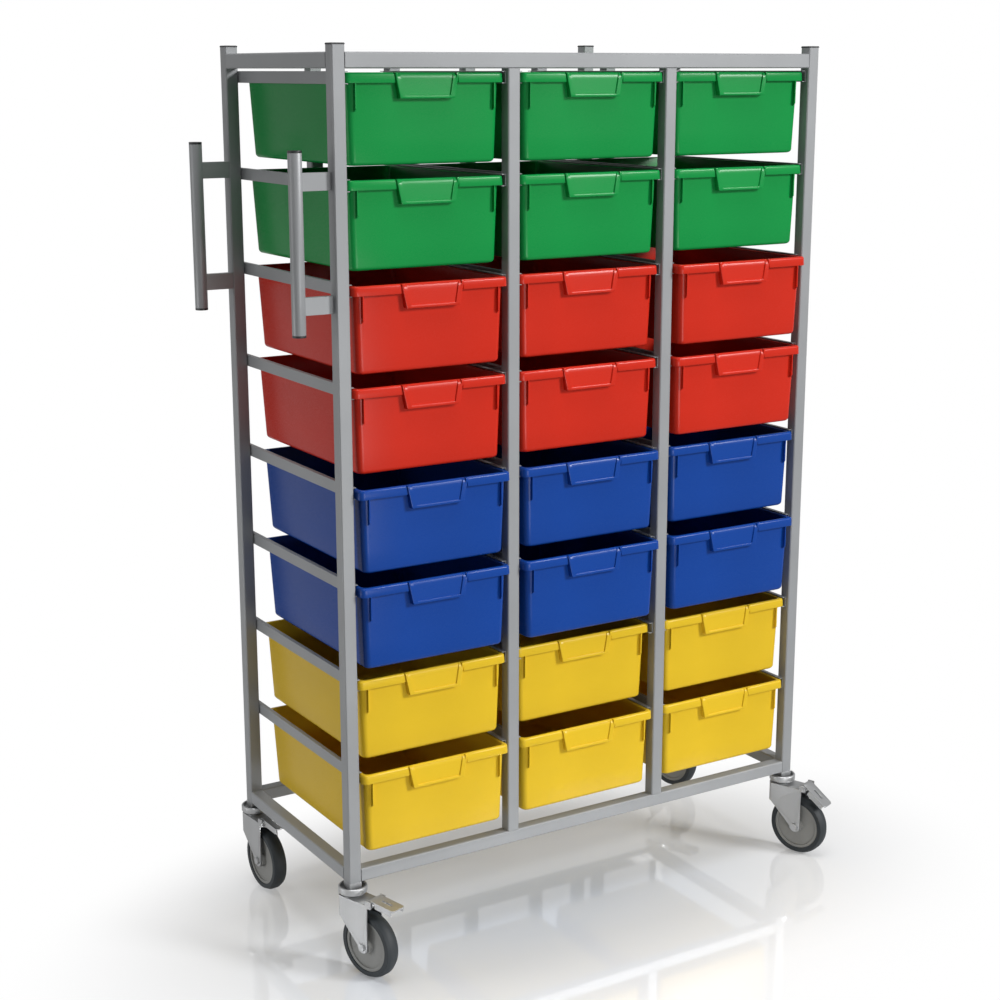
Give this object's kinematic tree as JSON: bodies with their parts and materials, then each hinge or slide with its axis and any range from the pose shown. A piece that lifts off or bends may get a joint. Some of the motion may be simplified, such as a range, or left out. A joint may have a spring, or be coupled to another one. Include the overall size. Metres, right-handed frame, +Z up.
{
  "type": "tray trolley",
  "caption": "Tall steel-tube trolley on braked swivel casters, holding columns of coloured moulded trays that slide out on folded runners, with push bars at one end",
  "frame": {"origin": "on the floor under the middle of the tube frame", "axes": "+X along the front to the right, +Y from the front to the rear, +Z up"},
  "size_m": [1.1703, 0.5855, 1.68],
  "materials": {
    "frame_paint": "silver-grey powder coat, satin",
    "black_plastic": "moulded black plastic",
    "zinc": "bright zinc plate",
    "wheel_grey": "moulded grey nylon",
    "tyre_rubber": "smooth dark rubber",
    "tray_green": "injection moulded, satin gloss",
    "tray_red": "injection moulded, satin gloss",
    "tray_blue": "injection moulded, satin gloss",
    "tray_yellow": "injection moulded, satin gloss"
  },
  "bodies": {
    "frame": {"corner_posts": "frame_paint", "top_rails": "frame_paint", "base_rails": "frame_paint", "front_uprights": "frame_paint", "rear_uprights": "frame_paint", "post_caps": "black_plastic", "caster_plugs": "zinc", "caster_stems": "zinc", "runners_1": "frame_paint", "runners_2": "frame_paint", "runners_3": "frame_paint", "handle_bars": "frame_paint", "handle_stubs": "frame_paint", "handle_caps": "black_plastic"},
    "swivel_fl": {"fork_fl": "zinc", "axle_fl": "zinc"},
    "wheel_fl": {"wheel_fl": "wheel_grey", "tyre_fl": "tyre_rubber"},
    "pedal_fl": {"pedal_fl": "zinc"},
    "swivel_rl": {"fork_rl": "zinc", "axle_rl": "zinc"},
    "wheel_rl": {"wheel_rl": "wheel_grey", "tyre_rl": "tyre_rubber"},
    "pedal_rl": {"pedal_rl": "zinc"},
    "swivel_fr": {"fork_fr": "zinc", "axle_fr": "zinc"},
    "wheel_fr": {"wheel_fr": "wheel_grey", "tyre_fr": "tyre_rubber"},
    "pedal_fr": {"pedal_fr": "zinc"},
    "swivel_rr": {"fork_rr": "zinc", "axle_rr": "zinc"},
    "wheel_rr": {"wheel_rr": "wheel_grey", "tyre_rr": "tyre_rubber"},
    "pedal_rr": {"pedal_rr": "zinc"},
    "tray_11": {"tray_11": "tray_green"},
    "tray_12": {"tray_12": "tray_green"},
    "tray_13": {"tray_13": "tray_green"},
    "tray_21": {"tray_21": "tray_green"},
    "tray_22": {"tray_22": "tray_green"},
    "tray_23": {"tray_23": "tray_green"},
    "tray_31": {"tray_31": "tray_red"},
    "tray_32": {"tray_32": "tray_red"},
    "tray_33": {"tray_33": "tray_red"},
    "tray_41": {"tray_41": "tray_red"},
    "tray_42": {"tray_42": "tray_red"},
    "tray_43": {"tray_43": "tray_red"},
    "tray_51": {"tray_51": "tray_blue"},
    "tray_52": {"tray_52": "tray_blue"},
    "tray_53": {"tray_53": "tray_blue"},
    "tray_61": {"tray_61": "tray_blue"},
    "tray_62": {"tray_62": "tray_blue"},
    "tray_63": {"tray_63": "tray_blue"},
    "tray_71": {"tray_71": "tray_yellow"},
    "tray_72": {"tray_72": "tray_yellow"},
    "tray_73": {"tray_73": "tray_yellow"},
    "tray_81": {"tray_81": "tray_yellow"},
    "tray_82": {"tray_82": "tray_yellow"},
    "tray_83": {"tray_83": "tray_yellow"}
  },
  "joints": [
    {"name": "swivel_fl_turn", "type": "hinge", "parent": "frame", "child": "swivel_fl", "pos_m": [-0.5145, -0.2205, 0.15], "axis": [0, 0, 1], "continuous": true},
    {"name": "wheel_fl_roll", "type": "hinge", "parent": "swivel_fl", "child": "wheel_fl", "pos_m": [-0.50164, -0.26258, 0.0625], "axis": [0.9563, 0.2924, 0], "continuous": true},
    {"name": "pedal_fl_rock", "type": "hinge", "parent": "swivel_fl", "child": "pedal_fl", "pos_m": [-0.49725, -0.27692, 0.151], "axis": [0.9563, 0.2924, 0], "range_deg": [0, 34]},
    {"name": "swivel_rl_turn", "type": "hinge", "parent": "frame", "child": "swivel_rl", "pos_m": [-0.5145, 0.2205, 0.15], "axis": [0, 0, 1], "continuous": true},
    {"name": "wheel_rl_roll", "type": "hinge", "parent": "swivel_rl", "child": "wheel_rl", "pos_m": [-0.51143, 0.17661, 0.0625], "axis": [0.9976, 0.0698, 0], "continuous": true},
    {"name": "pedal_rl_rock", "type": "hinge", "parent": "swivel_rl", "child": "pedal_rl", "pos_m": [-0.51038, 0.16164, 0.151], "axis": [0.9976, 0.0698, 0], "range_deg": [0, 34]},
    {"name": "swivel_fr_turn", "type": "hinge", "parent": "frame", "child": "swivel_fr", "pos_m": [0.5145, -0.2205, 0.15], "axis": [0, 0, 1], "continuous": true},
    {"name": "wheel_fr_roll", "type": "hinge", "parent": "swivel_fr", "child": "wheel_fr", "pos_m": [0.53027, -0.26158, 0.0625], "axis": [0.9336, 0.3584, 0], "continuous": true},
    {"name": "pedal_fr_rock", "type": "hinge", "parent": "swivel_fr", "child": "pedal_fr", "pos_m": [0.53564, -0.27558, 0.151], "axis": [0.9336, 0.3584, 0], "range_deg": [-34, 0]},
    {"name": "swivel_rr_turn", "type": "hinge", "parent": "frame", "child": "swivel_rr", "pos_m": [0.5145, 0.2205, 0.15], "axis": [0, 0, 1], "continuous": true},
    {"name": "wheel_rr_roll", "type": "hinge", "parent": "swivel_rr", "child": "wheel_rr", "pos_m": [0.52589, 0.178, 0.0625], "axis": [0.9659, 0.2588, 0], "continuous": true},
    {"name": "pedal_rr_rock", "type": "hinge", "parent": "swivel_rr", "child": "pedal_rr", "pos_m": [0.52977, 0.16351, 0.151], "axis": [0.9659, 0.2588, 0], "range_deg": [0, 34]},
    {"name": "tray_11_slide", "type": "slide", "parent": "frame", "child": "tray_11", "axis": [0, -1, 0], "range_m": [-0.0065, 0.3735]},
    {"name": "tray_12_slide", "type": "slide", "parent": "frame", "child": "tray_12", "axis": [0, -1, 0], "range_m": [-0.013, 0.367]},
    {"name": "tray_13_slide", "type": "slide", "parent": "frame", "child": "tray_13", "axis": [0, -1, 0], "range_m": [-0.0055, 0.3745]},
    {"name": "tray_21_slide", "type": "slide", "parent": "frame", "child": "tray_21", "axis": [0, -1, 0], "range_m": [-0.0065, 0.3735]},
    {"name": "tray_22_slide", "type": "slide", "parent": "frame", "child": "tray_22", "axis": [0, -1, 0], "range_m": [-0.0115, 0.3685]},
    {"name": "tray_23_slide", "type": "slide", "parent": "frame", "child": "tray_23", "axis": [0, -1, 0], "range_m": [-0.011, 0.369]},
    {"name": "tray_31_slide", "type": "slide", "parent": "frame", "child": "tray_31", "axis": [0, -1, 0], "range_m": [-0.02, 0.36]},
    {"name": "tray_32_slide", "type": "slide", "parent": "frame", "child": "tray_32", "axis": [0, -1, 0], "range_m": [-0.0075, 0.3725]},
    {"name": "tray_33_slide", "type": "slide", "parent": "frame", "child": "tray_33", "axis": [0, -1, 0], "range_m": [-0.032, 0.348]},
    {"name": "tray_41_slide", "type": "slide", "parent": "frame", "child": "tray_41", "axis": [0, -1, 0], "range_m": [-0.0165, 0.3635]},
    {"name": "tray_42_slide", "type": "slide", "parent": "frame", "child": "tray_42", "axis": [0, -1, 0], "range_m": [-0.0095, 0.3705]},
    {"name": "tray_43_slide", "type": "slide", "parent": "frame", "child": "tray_43", "axis": [0, -1, 0], "range_m": [-0.0265, 0.3535]},
    {"name": "tray_51_slide", "type": "slide", "parent": "frame", "child": "tray_51", "axis": [0, -1, 0], "range_m": [-0.0305, 0.3495]},
    {"name": "tray_52_slide", "type": "slide", "parent": "frame", "child": "tray_52", "axis": [0, -1, 0], "range_m": [-0.025, 0.355]},
    {"name": "tray_53_slide", "type": "slide", "parent": "frame", "child": "tray_53", "axis": [0, -1, 0], "range_m": [-0.015, 0.365]},
    {"name": "tray_61_slide", "type": "slide", "parent": "frame", "child": "tray_61", "axis": [0, -1, 0], "range_m": [-0.0305, 0.3495]},
    {"name": "tray_62_slide", "type": "slide", "parent": "frame", "child": "tray_62", "axis": [0, -1, 0], "range_m": [-0.031, 0.349]},
    {"name": "tray_63_slide", "type": "slide", "parent": "frame", "child": "tray_63", "axis": [0, -1, 0], "range_m": [-0.025, 0.355]},
    {"name": "tray_71_slide", "type": "slide", "parent": "frame", "child": "tray_71", "axis": [0, -1, 0], "range_m": [-0.013, 0.367]},
    {"name": "tray_72_slide", "type": "slide", "parent": "frame", "child": "tray_72", "axis": [0, -1, 0], "range_m": [-0.001, 0.379]},
    {"name": "tray_73_slide", "type": "slide", "parent": "frame", "child": "tray_73", "axis": [0, -1, 0], "range_m": [-0.007, 0.373]},
    {"name": "tray_81_slide", "type": "slide", "parent": "frame", "child": "tray_81", "axis": [0, -1, 0], "range_m": [-0.024, 0.356]},
    {"name": "tray_82_slide", "type": "slide", "parent": "frame", "child": "tray_82", "axis": [0, -1, 0], "range_m": [-0.0175, 0.3625]},
    {"name": "tray_83_slide", "type": "slide", "parent": "frame", "child": "tray_83", "axis": [0, -1, 0], "range_m": [-0.0115, 0.3685]}
  ]
}
